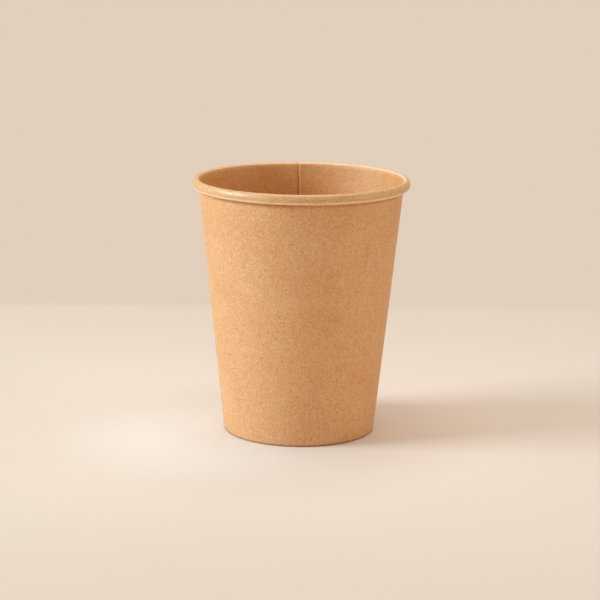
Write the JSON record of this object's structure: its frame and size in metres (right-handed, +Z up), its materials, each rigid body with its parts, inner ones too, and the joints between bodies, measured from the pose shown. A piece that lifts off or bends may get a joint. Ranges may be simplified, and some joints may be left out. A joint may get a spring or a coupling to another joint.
{
  "type": "paper coffee cup",
  "caption": "Tapered plain paper cup with a rolled rim, a lapped side seam and a recessed bottom clamped in the folded foot.",
  "frame": {"origin": "centre of the foot, on the plane the cup stands on", "axes": "+Z up along the cup's axis, +Y towards the side seam, +X to the right as seen from the front"},
  "size_m": [0.08, 0.08, 0.0944],
  "materials": {
    "wall_board": "unprinted brown kraft, matt with a faint sheen",
    "bottom_board": "unprinted brown kraft, matt with a faint sheen"
  },
  "bodies": {
    "root": {"side_wall": "wall_board", "bottom_disc": "bottom_board"}
  },
  "joints": []
}
